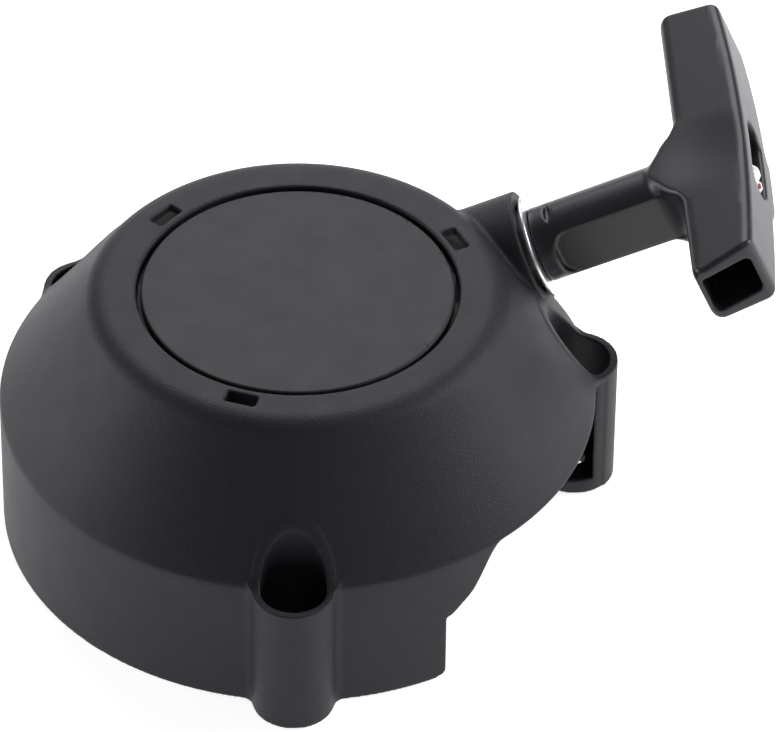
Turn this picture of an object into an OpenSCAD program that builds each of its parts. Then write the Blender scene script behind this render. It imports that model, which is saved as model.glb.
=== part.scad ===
// Recoil starter with a T-handle: domed housing, sprung rope rotor, two drive pawls and a pull grip.
// Lengths are in millimetres. +Z is up, the origin is the centre of the mounting rim,
// and +X is the horizontal direction in which the rope is pulled.

/* [Housing] */
// Outer radius of the round skirt
body_r = 70; // [68:0.5:72]
// Height of the upright skirt, where the cone starts
skirt_h = 34.5; // [33.5:0.5:35.5]
// Height of the flat top above the mounting rim
body_h = 65.5; // [65:0.5:66]
// Radius at which the cone line meets the plane of the flat top
shoulder_r = 47.4; // [46:0.2:48]
// Wall thickness of the skirt, cone and top
wall_t = 2.4; // [2:0.2:2.8]
// Width of the radial stiffening ribs
rib_w = 1.8; // [1.4:0.2:2.4]

/* [Cover disc] */
// Radius of the snap-in disc in the top
disc_r = 36.5; // [36:0.1:36.8]
// Thickness of the disc
disc_t = 2.4; // [2:0.2:2.6]
// Radius of the recess that holds the disc
recess_r = 37.6; // [37.4:0.1:38]

/* [Screw bosses] */
// Outer radius of a boss
boss_r = 9.35; // [9:0.05:9.6]
// Radius of the deep counterbore in a boss
boss_bore_r = 7.6; // [7:0.1:7.8]
// Radius of the hole for the fixing screw
screw_hole_r = 2.75; // [2.25:0.25:3.25]
// Thickness of the seat under the screw head
boss_seat_t = 4; // [3:0.5:5]

/* [Rope and outlet] */
// Diameter of the starter rope
rope_d = 3.5; // [3:0.1:3.5]
// Angle of the pull direction above the horizontal
pull_angle = 23; // [23:1:23]
// Outer radius of the outlet nozzle at its mouth
nozzle_r = 14.2; // [13.8:0.1:14.6]
// Radius of the eyelet flange
eyelet_r = 12.4; // [12:0.1:12.8]

/* [Rotor] */
// Radius of the two spool flanges
spool_r = 29.5; // [29:0.1:30]
// Radius of the fixed post that the rotor turns on
post_r = 7; // [7:0.1:7]
// Running clearance on radius between bush and post
run_gap = 0.06; // [0.03:0.01:0.09]

/* [Grip] */
// Radius of the grip's stem
stem_r = 9.2; // [9:0.1:9.4]
// Length of the grip bar along its inner face
bar_len = 98.7; // [94:0.1:99]
// Width of the grip bar in the pull direction
bar_w = 15.9; // [15:0.1:16.5]

/* [Hidden] */
$fn = 96;

// Colours
black_plastic = [0.13, 0.13, 0.14];
disc_plastic = [0.10, 0.10, 0.11];
grip_plastic = [0.09, 0.09, 0.10];
white_nylon = [0.82, 0.80, 0.74];
steel = [0.72, 0.72, 0.74];
brass = [0.78, 0.62, 0.32];
rope_white = [0.90, 0.89, 0.86];

// Housing section
cone_angle = atan2(body_h - skirt_h, body_r - shoulder_r);
skirt_round = 2;
shoulder_round = 7;
skirt_tangent = skirt_round * tan((90 - cone_angle) / 2);
shoulder_tangent = shoulder_round * tan(cone_angle / 2);
wall_in_r = body_r - wall_t;
top_in_z = body_h - wall_t;
in_shoulder_r = shoulder_r - wall_t * tan(cone_angle / 2);
in_skirt_z = skirt_h - wall_t * tan((90 - cone_angle) / 2);
in_bevel = 2;
ledge_z = body_h - 2.8;
ledge_t = 2.4;
rib_in_z = 53;
rib_out_z = 26;
well_in_r = 33.5;
well_out_r = 36;
web_top_z = 55;
web_low_z = 52.5;

// Slots round the disc that show its snap hooks
slot_angles = [24, 137, -110.5];
slot_r = 41;
slot_len = 7.4;
slot_w = 3.5;
hook_z = 58.2;
hook_t = 1.8;
hook_reach = 38.6;
leg_w = 6;

// Screw bosses: distance from the axis and angle
boss_places = [[69.5, -93], [67, 7.5], [63.5, 141.5]];
boss_top_z = skirt_h;
boss_bore_top = 60;
seat_cut_top = 31;

// Side cut-out of the skirt, as heights along a chord
notch_angle = -38;
notch_start = -29;
notch_low_z = 17.5;
notch_step_1 = 3.8;
notch_step_2 = 12.2;
notch_step_1_len = 6;
notch_step_2_at = -24.5;
notch_step_2_len = 10;
notch_top_z = 33.5;
notch_end_angle = -1;

// Outlet: middle of the eyelet's front face
outlet = [58.45, 26.9, 54.5];
nozzle_back = 14;
nozzle_front = 2;
nozzle_root_r = 15;
nozzle_seat_r = 11;
nozzle_seat_back = 5;
bush_r = 6;
bush_bore_r = 2.6;
bush_back = 13;
bush_shoulder_r = 9.5;
eyelet_t = 0.9;
eyelet_mouth_r = 5.5;

// Heights of the rotor stack, from the top down
cup_in_r = 27.6;
cup_out_r = 30;
cover_z = 42.8;
cover_t = 0.6;
rotor_hub_r = 10;
rotor_hub_top = 50.6;
flange_top_z = 40.4;
flange_t = 1.8;
groove_low_z = 33;
lower_flange_t = 2;
spool_core_r = 14.6;
rotor_nose_r = 12;
rotor_low_z = 23.9;
rotor_bore_r = 8;
bush_bore = post_r + run_gap;
post_low_z = 23;
insert_r = 3.2;
insert_top_z = 35;
screw_r = 2;
screw_top_z = 33;
washer_r = 15;
washer_t = 1.5;
screw_head_r = 4.6;
screw_head_t = 3;
guide_z = 23.7;
guide_t = 1.5;
guide_r = 25;

// Rope layers on the rotor
rope_r = rope_d / 2;
layer_r0 = spool_core_r + rope_r + 0.05;
lower_row_z = groove_low_z + rope_r + 0.1;
upper_row_z = lower_row_z + rope_d + 0.02;
run_y = outlet[1];
run_z = upper_row_z;
bend_r = 12;
bend_tangent = bend_r * tan(pull_angle / 2);
bend_x = outlet[0] - (outlet[2] - run_z) / tan(pull_angle);
bend_steps = 6;
run_sides = 12;
lead_back = 13.5;

// Pawls: pivot, thickness, swing and drive pin
pawl_pivot_r = 20;
pawl_z = 25.8;
pawl_t = 4.6;
pawl_pin_r = 2;
pawl_eye_r = 4.2;
pawl_swing = 30;
guide_swing = 25;
drive_pin_at = [1.6, -8.5];
drive_pin_r = 1.5;
drive_gap = 0.4;
slot_steps = 10;

// Spring strip
spring_t = 0.5;
spring_z = 44;
spring_w = 7.2;
spring_in_r = 11.6;
spring_out_r = 26.9;
spring_turns = 9;
spring_steps = 28;

// Spring cover fixing
cover_screw_r = 33;
cover_screw_angles = [-12, 112, 232];
pad_r = 4;
pad_step = 0.2;
cover_pilot_r = 1.2;

// Grip
grip_start = 0.4;
bar_start = 37.7;
bar_middle_y = 6.6;
bar_middle_z = 2.6;
bar_outer_len = 90.6;
bar_in_t = 15.4;
bar_out_t = 18.6;
bar_bulge = 2.3;
channel_w = 11.4;
channel_t = 10.4;
lobe_r = 14;
lobe_z = [-8.6, 10.8];
flat_y = 6.2;
collar_len = 3;
stem_bore_r = 2.3;
slot_half = [12, 4.5];
knot_r = 4;
knot_len = 5;
knot_tilt = -35;
rotor_knot_r = 2.6;

// Points of an arc around a centre
function arc(cx, cy, r, a0, a1, n) =
    [for (i = [0:n]) [cx + r * cos(a0 + (a1 - a0) * i / n), cy + r * sin(a0 + (a1 - a0) * i / n)]];
// Eases from 0 to 1
function smooth(t) = t <= 0 ? 0 : t >= 1 ? 1 : t * t * (3 - 2 * t);
// Height of the side cut-out along the skirt
function notch_z(u) = notch_low_z + notch_step_1 * smooth((u - notch_start) / notch_step_1_len)
    + notch_step_2 * smooth((u - notch_step_2_at) / notch_step_2_len);

// Outer line of the dome from the rim to the edge of the flat top
dome_line = concat(
    [[body_r, 0]],
    arc(body_r - skirt_round, skirt_h - skirt_tangent, skirt_round, 0, 90 - cone_angle, 4),
    arc(shoulder_r - shoulder_tangent, body_h - shoulder_round, shoulder_round,
        90 - cone_angle, 90, 8));

// Inner line of the dome from under the flat top to the rim
inner_line = [
    [well_out_r, ledge_z - ledge_t],
    [recess_r + 2, ledge_z - ledge_t],
    [recess_r + 2, top_in_z],
    [in_shoulder_r - in_bevel, top_in_z],
    [in_shoulder_r + in_bevel * cos(cone_angle), top_in_z - in_bevel * sin(cone_angle)],
    [wall_in_r, in_skirt_z],
    [wall_in_r, 0]];

// Rope between the rotor and the bush: straight, bent upwards, then straight along the pull.
// Each station is a distance along X, a height, and the direction of the rope there.
run_end = [outlet[0] - lead_back * cos(pull_angle), outlet[2] - lead_back * sin(pull_angle)];
run_stations = concat(
    [[0, run_z, 0]],
    [for (i = [0:bend_steps]) let (a = pull_angle * i / bend_steps)
        [bend_x - bend_tangent + bend_r * sin(a), run_z + bend_r * (1 - cos(a)), a]],
    [[run_end[0], run_end[1], pull_angle]]);
run_points = [for (st = run_stations) for (k = [0:run_sides - 1])
    let (t = 360 * k / run_sides, u = (rope_r - 0.02) * cos(t), v = (rope_r - 0.02) * sin(t))
    [st[0] - v * sin(st[2]), run_y + u, st[1] + v * cos(st[2])]];
run_last = len(run_stations) - 1;
run_faces = concat(
    [[for (k = [0:run_sides - 1]) k]],
    [[for (k = [run_sides - 1:-1:0]) run_last * run_sides + k]],
    [for (i = [0:run_last - 1]) for (k = [0:run_sides - 1]) let (n = (k + 1) % run_sides)
        [i * run_sides + n, i * run_sides + k, (i + 1) * run_sides + k, (i + 1) * run_sides + n]]);

// Places a shape in the outlet's frame: X along the pull, Y across it
module along_pull() {
    translate(outlet)
        rotate([0, -pull_angle, 0])
            children();
}

// Cylinder along the pull direction between two distances from the eyelet's face
module pull_rod(r, from, to) {
    along_pull()
        translate([from, 0, 0])
            rotate([0, 90, 0])
                cylinder(r = r, h = to - from);
}

// Dome without its hollow
module dome_solid() {
    rotate_extrude()
        polygon(concat([[0, 0]], dome_line, [[0, body_h]]));
}

// Half section of the dome, with the recess for the disc and the well under it
module shell_section() {
    polygon(concat(
        dome_line,
        [[recess_r, body_h], [recess_r, ledge_z], [well_in_r, ledge_z], [well_in_r, web_top_z],
            [0, web_top_z], [0, web_low_z], [well_out_r, web_low_z]],
        inner_line));
}

// Cut-out in the skirt for the engine's air duct
module side_notch() {
    rotate([0, 0, notch_angle])
        translate([45, 0, 0])
            rotate([90, 0, 90])
                linear_extrude(height = 40)
                    polygon(concat(
                        [[notch_start, -1]],
                        [for (i = [0:24]) let (u = notch_start + i * 0.9) [u, notch_z(u)]],
                        [[10, notch_top_z], [10, -1]]));
    rotate([0, 0, notch_angle])
        rotate_extrude(angle = notch_end_angle - notch_angle)
            translate([50, -1])
                square([40, notch_top_z + 1]);
}

// Boss that stands beside the skirt and ends inside the cone
module boss_tube(place) {
    intersection() {
        rotate_extrude()
            polygon(concat([[0, 0], [body_r + 20, 0], [body_r + 20, boss_top_z], [body_r - 3, boss_top_z]],
                arc(shoulder_r - shoulder_tangent, body_h - shoulder_round, shoulder_round,
                    90 - cone_angle, 90, 8),
                [[0, body_h]]));
        rotate([0, 0, place[1]])
            translate([place[0], 0, 0])
                cylinder(r = boss_r, h = boss_bore_top);
    }
}

// Screwdriver bore and screw hole of a boss
module boss_bores(place) {
    rotate([0, 0, place[1]])
        translate([place[0], 0, 0]) {
            translate([0, 0, boss_seat_t])
                cylinder(r = boss_bore_r, h = boss_bore_top);
            translate([0, 0, -1])
                cylinder(r = screw_hole_r, h = boss_seat_t + 2);
        }
}

// Opens the inner side of the boss that stands at the end of the side cut-out
module boss_inner_cut(place) {
    translate([0, 0, boss_seat_t])
        intersection() {
            cylinder(r = body_r + 0.3, h = seat_cut_top - boss_seat_t);
            rotate([0, 0, place[1]])
                translate([place[0], 0, 0])
                    intersection() {
                        cylinder(r = boss_r + 1, h = seat_cut_top - boss_seat_t);
                        translate([-20, -20, 0])
                            cube([40, 22, seat_cut_top - boss_seat_t]);
                    }
        }
}

// Rib that hangs under the cone between the well and the skirt
module rib(angle) {
    rotate([0, 0, angle])
        translate([0, rib_w / 2, 0])
            rotate([90, 0, 0])
                linear_extrude(height = rib_w)
                    polygon([[well_out_r - 1, rib_in_z], [wall_in_r + 1, rib_out_z],
                        [wall_in_r + 1, skirt_h - 0.4], [shoulder_r + 1, top_in_z - 1.3],
                        [shoulder_r - 4, top_in_z + 1], [recess_r + 1, top_in_z + 1],
                        [recess_r + 1, ledge_z - 1], [well_out_r - 1, ledge_z - 1]]);
}

// Slot in the flat top beside a hook of the disc
module top_slot(angle) {
    rotate([0, 0, angle])
        translate([slot_r - slot_w / 2, -slot_len / 2, 61])
            cube([slot_w, slot_len, 10]);
}

// Opening in the ledge for a leg and hook of the disc
module ledge_window(angle) {
    rotate([0, 0, angle])
        translate([well_in_r - 2, -leg_w / 2 - 0.4, hook_z - 0.4])
            cube([well_out_r - well_in_r + 5, leg_w + 0.8, 2.6 + hook_t]);
    rotate([0, 0, angle])
        translate([well_in_r - 2, -leg_w / 2 - 0.4, hook_z - 0.4])
            cube([disc_r - well_in_r + 2, leg_w + 0.8, 10]);
}

// Moulded cover that everything is mounted in
module housing() {
    color(black_plastic)
        difference() {
            union() {
                difference() {
                    union() {
                        rotate_extrude()
                            shell_section();
                        for (angle = [-140, -115, -68, -45, -20, 85, 112, 165, 190])
                            rib(angle);
                    }
                    side_notch();
                }
                for (place = boss_places)
                    boss_tube(place);
                intersection() {
                    dome_solid();
                    pull_rod(nozzle_root_r, -nozzle_back, 0);
                }
                pull_rod(nozzle_r, -nozzle_back, -nozzle_front);
                translate([0, 0, post_low_z])
                    cylinder(r = post_r, h = web_low_z - post_low_z + 1);
                translate([0, 0, cover_z + cover_t])
                    difference() {
                        cylinder(r = cup_out_r, h = web_low_z - cover_z - cover_t + 1);
                        translate([0, 0, -1])
                            cylinder(r = cup_in_r, h = web_low_z - cover_z - cover_t + 1);
                    }
                for (angle = cover_screw_angles)
                    rotate([0, 0, angle])
                        translate([cover_screw_r, 0, cover_z + cover_t + pad_step])
                            cylinder(r = pad_r, h = web_low_z - cover_z - cover_t - pad_step + 1);
            }
            for (place = boss_places)
                boss_bores(place);
            boss_inner_cut(boss_places[1]);
            for (angle = slot_angles) {
                top_slot(angle);
                ledge_window(angle);
            }
            pull_rod(bush_r, -nozzle_back - 8, 1);
            pull_rod(nozzle_seat_r, -nozzle_seat_back, 1);
            translate([0, 0, post_low_z - 1])
                cylinder(r = insert_r, h = insert_top_z - post_low_z + 1);
            for (angle = cover_screw_angles)
                rotate([0, 0, angle])
                    translate([cover_screw_r, 0, cover_z])
                        cylinder(r = cover_pilot_r, h = 7);
        }
}

// Disc with three hooked legs that closes the well
module cover_disc() {
    color(disc_plastic) {
        translate([0, 0, ledge_z])
            rotate_extrude()
                polygon([[0, 0], [disc_r, 0], [disc_r, disc_t - 0.4], [disc_r - 0.4, disc_t],
                    [0, disc_t]]);
        for (angle = slot_angles)
            rotate([0, 0, angle]) {
                translate([well_in_r + 0.6, -leg_w / 2, hook_z])
                    cube([1.6, leg_w, ledge_z - hook_z + 0.5]);
                translate([well_in_r + 0.6, -leg_w / 2, hook_z])
                    cube([hook_reach - well_in_r - 0.6, leg_w, hook_t]);
            }
    }
}

// Flanged steel bush in the nozzle
module rope_bush() {
    color(steel)
        along_pull()
            rotate([0, 90, 0])
                rotate_extrude()
                    polygon(concat(
                        [[bush_bore_r, -bush_back], [bush_r, -bush_back],
                            [bush_r, -nozzle_seat_back], [bush_shoulder_r, -nozzle_seat_back],
                            [bush_shoulder_r, -eyelet_t], [eyelet_r, -eyelet_t],
                            [eyelet_r, -0.3], [eyelet_r - 0.3, 0]],
                        arc(eyelet_mouth_r, -2.9, 2.9, 90, 180, 6)));
}

// Brass insert that takes the centre screw
module post_insert() {
    color(brass)
        translate([0, 0, post_low_z + 0.2])
            difference() {
                cylinder(r = insert_r, h = insert_top_z - post_low_z - 0.2);
                translate([0, 0, -1])
                    cylinder(r = screw_r, h = 20);
            }
}

// Radius of the spring strip along its length
function spiral_r(t) = spring_in_r + (spring_out_r - spring_in_r) * pow(t, 1.15);

// Flat spiral spring in its cup
module recoil_spring() {
    steps = spring_turns * spring_steps;
    color(steel)
        translate([0, 0, spring_z])
            linear_extrude(height = spring_w)
                polygon(concat(
                    [for (i = [0:steps]) let (a = 360 * i / spring_steps, r = spiral_r(i / steps))
                        [r * cos(a), r * sin(a)]],
                    [for (i = [steps:-1:0])
                        let (a = 360 * i / spring_steps, r = spiral_r(i / steps) + spring_t)
                        [r * cos(a), r * sin(a)]]));
}

// Sheet under the spring cup, held at three ears
module spring_cover() {
    color(steel)
        translate([0, 0, cover_z])
            difference() {
                union() {
                    cylinder(r = cup_out_r - 0.2, h = cover_t);
                    for (angle = cover_screw_angles)
                        rotate([0, 0, angle]) {
                            translate([cover_screw_r, 0, 0])
                                cylinder(r = pad_r - 0.2, h = cover_t);
                            translate([cup_out_r - 3, 0.2 - pad_r, 0])
                                cube([cover_screw_r - cup_out_r + 3, 2 * (pad_r - 0.2), cover_t]);
                        }
                }
                translate([0, 0, -1])
                    cylinder(r = rotor_hub_r + 1, h = 3);
                for (angle = cover_screw_angles)
                    rotate([0, 0, angle])
                        translate([cover_screw_r, 0, -1])
                            cylinder(r = cover_pilot_r + 0.3, h = 3);
            }
}

// Screws of the spring cover
module spring_cover_screws() {
    color(steel)
        for (angle = cover_screw_angles)
            rotate([0, 0, angle])
                translate([cover_screw_r, 0, cover_z - 1.4]) {
                    cylinder(r = 2.4, h = 1.4);
                    cylinder(r = cover_pilot_r - 0.05, h = 8);
                }
}

// Drum with two flanges, a nose for the guide plate and a hub for the spring
module rope_rotor() {
    color(white_nylon)
        difference() {
            union() {
                rotate_extrude()
                    polygon([[rotor_bore_r, rotor_low_z], [rotor_nose_r, rotor_low_z],
                        [rotor_nose_r, groove_low_z - lower_flange_t],
                        [spool_r, groove_low_z - lower_flange_t], [spool_r, groove_low_z],
                        [spool_core_r, groove_low_z], [spool_core_r, flange_top_z],
                        [spool_r, flange_top_z], [spool_r, flange_top_z + flange_t],
                        [rotor_hub_r, flange_top_z + flange_t], [rotor_hub_r, rotor_hub_top],
                        [rotor_bore_r, rotor_hub_top]]);
            }
            for (side = [0, 180])
                rotate([0, 0, side])
                    translate([pawl_pivot_r, 0, groove_low_z - lower_flange_t - 1])
                        cylinder(r = pawl_pin_r, h = lower_flange_t + 2);
            rotate([0, 0, 60])
                translate([12.6, 0, groove_low_z - 8])
                    cylinder(r = rope_r + 0.3, h = 12);
            rotate([0, 0, 200])
                translate([rotor_hub_r - 0.6, -1.2, 44])
                    cube([3, 2.4, 10]);
        }
}

// Bearing bush pressed into the drum
module rotor_bush() {
    color(brass)
        translate([0, 0, rotor_low_z])
            difference() {
                cylinder(r = rotor_bore_r, h = rotor_hub_top - rotor_low_z);
                translate([0, 0, -1])
                    cylinder(r = bush_bore, h = 40);
            }
}

// Turns of rope on the drum, two rows of three
module rope_wound() {
    color(rope_white)
        for (z = [lower_row_z, upper_row_z])
            for (layer = [0:2])
                translate([0, 0, z])
                    rotate_extrude()
                        translate([layer_r0 + layer * (rope_d + 0.02), 0])
                            circle(r = rope_r - 0.02, $fn = 32);
}

// Knot as a round-ended roll along Z
module knot(r, body_len) {
    rotate_extrude()
        polygon(concat(
            [[0, -body_len / 2 - r]],
            arc(0, -body_len / 2, r, -80, 0, 6),
            arc(0, body_len / 2, r, 0, 80, 6),
            [[0, body_len / 2 + r]]));
}

// Knot that holds the rope in the drum
module rotor_rope_knot() {
    color(rope_white)
        rotate([0, 0, 60])
            translate([15.6, 1, groove_low_z - lower_flange_t - rotor_knot_r - 0.2])
                rotate([90, 0, 0])
                    knot(rotor_knot_r, 2.4);
}

// Fixed shape of the rope between drum and bush
module rope_run() {
    color(rope_white)
        polyhedron(points = run_points, faces = run_faces);
}

// Drive pawl at its pivot, with the pin that the guide plate moves
module pawl() {
    color(steel)
        difference() {
            union() {
                translate([0, 0, pawl_z])
                    cylinder(r = pawl_eye_r, h = pawl_t);
                translate([0, 0, pawl_z])
                    linear_extrude(height = pawl_t)
                        polygon(concat(
                            [[-3.4, -1.5], [-2.2, -9], [0, -15.5], [3.2, -18.6], [5.2, -18.4],
                                [4.6, -15]],
                            arc(-7, -3.6, 11.2, -38, 12, 5)));
                translate([drive_pin_at[0], drive_pin_at[1], guide_z])
                    cylinder(r = drive_pin_r, h = pawl_z - guide_z + 1);
            }
            translate([0, 0, pawl_z - 1])
                cylinder(r = pawl_pin_r + run_gap, h = pawl_t + 2);
        }
}

// First pawl
module pawl_a() {
    translate([pawl_pivot_r, 0, 0])
        pawl();
}

// Second pawl, opposite the first
module pawl_b() {
    rotate([0, 0, 180])
        translate([pawl_pivot_r, 0, 0])
            pawl();
}

// Pivot pins in the drum
module pawl_pins() {
    color(steel)
        for (side = [0, 180])
            rotate([0, 0, side])
                translate([pawl_pivot_r, 0, pawl_z])
                    cylinder(r = pawl_pin_r, h = groove_low_z - pawl_z);
}

// Slot that a pawl's drive pin follows while the guide turns back and the pawl swings out
module guide_slot() {
    for (i = [0:slot_steps])
        rotate([0, 0, -guide_swing * i / slot_steps])
            translate([pawl_pivot_r, 0, guide_z - 1])
                rotate([0, 0, pawl_swing * i / slot_steps])
                    translate(drive_pin_at)
                        cylinder(r = drive_pin_r + drive_gap, h = guide_t + 2, $fn = 48);
}

// Plate whose slots swing the pawls out
module pawl_guide() {
    color(steel)
        difference() {
            translate([0, 0, guide_z])
                cylinder(r = guide_r, h = guide_t);
            translate([0, 0, guide_z - 1])
                cylinder(r = rotor_nose_r + run_gap, h = guide_t + 2);
            guide_slot();
            rotate([0, 0, 180])
                guide_slot();
        }
}

// Wire ring that drags on the guide plate
module brake_spring() {
    color(steel)
        translate([0, 0, post_low_z + 0.34])
            rotate_extrude(angle = 325)
                translate([13.6, 0])
                    circle(r = 0.28, $fn = 24);
}

// Slip washer between the drum and the retainer
module thrust_washer() {
    color(brass)
        translate([0, 0, post_low_z])
            difference() {
                cylinder(r = 11.8, h = 0.6);
                translate([0, 0, -1])
                    cylinder(r = post_r + 0.2, h = 3);
            }
}

// Washer that keeps the drum on its post
module retainer_washer() {
    color(steel)
        translate([0, 0, post_low_z - washer_t])
            difference() {
                cylinder(r = washer_r, h = washer_t);
                translate([0, 0, -1])
                    cylinder(r = screw_r + 0.2, h = washer_t + 2);
            }
}

// Socket screw in the post
module center_screw() {
    color(steel) {
        difference() {
            translate([0, 0, post_low_z - washer_t - screw_head_t])
                cylinder(r = screw_head_r, h = screw_head_t);
            translate([0, 0, post_low_z - washer_t - screw_head_t - 1])
                cylinder(r = 2.3, h = 2.8, $fn = 6);
        }
        translate([0, 0, post_low_z - washer_t])
            cylinder(r = screw_r, h = screw_top_z - post_low_z + washer_t);
    }
}

// Plan of the grip bar: X along the pull, Y along the bar
module bar_plan() {
    half_in = bar_len / 2;
    half_out = bar_outer_len / 2;
    end_x = bar_start + bar_w;
    swell_r = (half_out * half_out + bar_bulge * bar_bulge) / (2 * bar_bulge);
    swell_a = asin(half_out / swell_r);
    translate([0, bar_middle_y])
        polygon(concat(
            [[end_x - 2.5, -half_out - 1], [bar_start + 3, -half_in + 0.6],
                [bar_start, -half_in + 4]],
            [[bar_start, half_in - 4], [bar_start + 3, half_in - 0.6],
                [end_x - 2.5, half_out + 1]],
            arc(end_x + bar_bulge - swell_r, 0, swell_r, swell_a, -swell_a, 12)));
}

// Section of the crossbar, thicker at its outer face
module bar_section() {
    far_x = bar_start + bar_w + bar_bulge + 1;
    spread = (bar_out_t - bar_in_t) / 2 / bar_w * (far_x - bar_start);
    polygon([[bar_start - 0.1, bar_middle_z - bar_in_t / 2],
        [far_x, bar_middle_z - bar_in_t / 2 - spread],
        [far_x, bar_middle_z + bar_in_t / 2 + spread],
        [bar_start - 0.1, bar_middle_z + bar_in_t / 2]]);
}

// T-shaped handle: stem, crossbar, lobe and hollow for the knot
module grip() {
    color(grip_plastic)
        along_pull()
            difference() {
                union() {
                    intersection() {
                        translate([0, 0, -20])
                            linear_extrude(height = 50)
                                bar_plan();
                        translate([0, 80, 0])
                            rotate([90, 0, 0])
                                linear_extrude(height = 160)
                                    bar_section();
                    }
                    translate([grip_start, 0, 0])
                        rotate([0, 90, 0])
                            cylinder(r = stem_r, h = collar_len);
                    intersection() {
                        translate([grip_start, 0, 0])
                            rotate([0, 90, 0])
                                cylinder(r = stem_r, h = bar_start);
                        translate([grip_start, -flat_y, -20])
                            cube([60, 2 * flat_y, 40]);
                    }
                    intersection() {
                        translate([bar_start + bar_w / 2, 0, lobe_z[0]])
                            cylinder(r = lobe_r, h = lobe_z[1] - lobe_z[0]);
                        translate([grip_start, -30, -20])
                            cube([bar_start + bar_w, 60, 40]);
                    }
                }
                translate([bar_start + 2, -60, bar_middle_z - channel_t / 2])
                    cube([channel_w, 130, channel_t]);
                rotate([0, 90, 0])
                    cylinder(r = stem_bore_r, h = 45);
                for (side = [-1, 1])
                    translate([bar_start + 8, side * (slot_half[0] - slot_half[1]), bar_middle_z])
                        rotate([0, 90, 0])
                            cylinder(r = slot_half[1], h = 20);
                translate([bar_start + 8, slot_half[1] - slot_half[0], bar_middle_z - slot_half[1]])
                    cube([20, 2 * (slot_half[0] - slot_half[1]), 2 * slot_half[1]]);
            }
}

// Rope from the back of the bush into the handle
module rope_lead() {
    color(rope_white)
        pull_rod(rope_r - 0.02, -lead_back, bar_start + 2.5);
}

// Knot that holds the rope in the handle
module rope_end_knot() {
    color(rope_white)
        along_pull()
            translate([bar_start + 11, -4, bar_middle_z])
                rotate([0, 90, knot_tilt])
                    knot(knot_r, knot_len);
}

housing();
cover_disc();
rope_bush();
post_insert();
recoil_spring();
spring_cover();
spring_cover_screws();
rope_rotor();
rotor_bush();
rope_wound();
rotor_rope_knot();
rope_run();
pawl_a();
pawl_b();
pawl_pins();
pawl_guide();
brake_spring();
thrust_washer();
retainer_washer();
center_screw();
grip();
rope_lead();
rope_end_knot();
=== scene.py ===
"""Recoil starter: moulded cover, T handle on its rope, and the works inside the cover."""

import math

import bpy
import numpy as np
import openvdb
from mathutils import Matrix, Vector


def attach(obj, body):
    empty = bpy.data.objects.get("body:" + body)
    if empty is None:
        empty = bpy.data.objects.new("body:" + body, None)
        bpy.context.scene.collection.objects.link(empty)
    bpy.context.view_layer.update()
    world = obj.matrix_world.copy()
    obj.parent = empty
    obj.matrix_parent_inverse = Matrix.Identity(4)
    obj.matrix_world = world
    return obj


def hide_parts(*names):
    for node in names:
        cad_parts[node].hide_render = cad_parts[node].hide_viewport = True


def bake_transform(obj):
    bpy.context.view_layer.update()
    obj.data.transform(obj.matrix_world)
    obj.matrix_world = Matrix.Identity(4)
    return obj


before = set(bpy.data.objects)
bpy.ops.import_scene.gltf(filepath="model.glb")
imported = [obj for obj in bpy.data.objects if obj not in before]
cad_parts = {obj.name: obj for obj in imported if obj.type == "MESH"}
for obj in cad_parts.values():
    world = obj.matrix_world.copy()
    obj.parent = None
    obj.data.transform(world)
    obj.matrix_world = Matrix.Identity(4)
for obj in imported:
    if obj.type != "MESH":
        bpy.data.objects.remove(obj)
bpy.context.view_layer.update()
MM = 0.001

# Sizes of the real object, in millimetres, shared by several pieces.
OUTLET = np.array([58.45, 26.9, 54.5])
PULL = math.radians(23)
ALONG = np.array([math.cos(PULL), 0, math.sin(PULL)])
UPWARD = np.array([-math.sin(PULL), 0, math.cos(PULL)])
BODY_R, BODY_H, SKIRT_H = 70, 65.5, 34.5
SHOULDER_R, SKIRT_ROUND, SHOULDER_ROUND = 47.4, 2, 7
WALL_T = 2.4
CONE = math.atan2(BODY_H - SKIRT_H, BODY_R - SHOULDER_R)
WELL_IN, WELL_OUT, RECESS_R = 33.5, 36, 37.6
LEDGE_Z, WEB_TOP, WEB_LOW = 62.7, 55, 52.5
BOSSES = [(69.5, -93), (67, 7.5), (63.5, 141.5)]
SLOT_ANGLES = [24, 137, -110.5]
RIB_ANGLES = [-140, -115, -68, -45, -20, 85, 112, 165, 190]
COVER_SCREWS = [-12, 112, 232]
ROPE_R = 1.73
LAY = 7.0  # length of cord in which a strand goes round once
PAWL_PIVOT_R, PAWL_SWING, GUIDE_SWING = 20, 30, 25
DRIVE_PIN = (1.6, -8.5)
BOSS_R, BOSS_BORE_R, SCREW_HOLE_R, BOSS_SEAT = 9.35, 7.6, 2.75, 4
NOZZLE_R, NOZZLE_SEAT_R, BUSH_R, EYELET_R = 14.2, 11, 6, 12.4
COVER_SCREW_R, SLOT_R = 33, 41
DISC_R, DISC_TOP = 36.5, 65.1
POST_R, POST_LOW, INSERT_R, INSERT_TOP, SCREW_R = 7, 23, 3.2, 35, 2
ROTOR_BORE, NOSE_R, SPOOL_CORE, SPOOL_R = 8, 12, 14.6, 29.5
ROTOR_LOW, ROTOR_TOP = 23.9, 50.6
PAWL_LOW, PAWL_HIGH, PAWL_EYE_R = 25.8, 30.4, 4.2
GUIDE_R, GUIDE_LOW, GUIDE_HIGH = 25, 23.7, 25.2
ROW_LOW_Z, ROW_HIGH_Z = 34.85, 38.37


# ---------------------------------------------------------------- distance fields

def join(radius=0.0):
    """Adds a shape, with a concave fillet of this radius."""
    def combine(a, b):
        if not radius:
            return np.minimum(a, b)
        corner = np.hypot(np.maximum(radius - a, 0), np.maximum(radius - b, 0))
        return np.maximum(radius, np.minimum(a, b)) - corner
    return combine


def cut(radius=0.0):
    """Takes a shape away, rounding the new edges."""
    add = join(radius)
    return lambda a, b: -add(-a, b)


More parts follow.
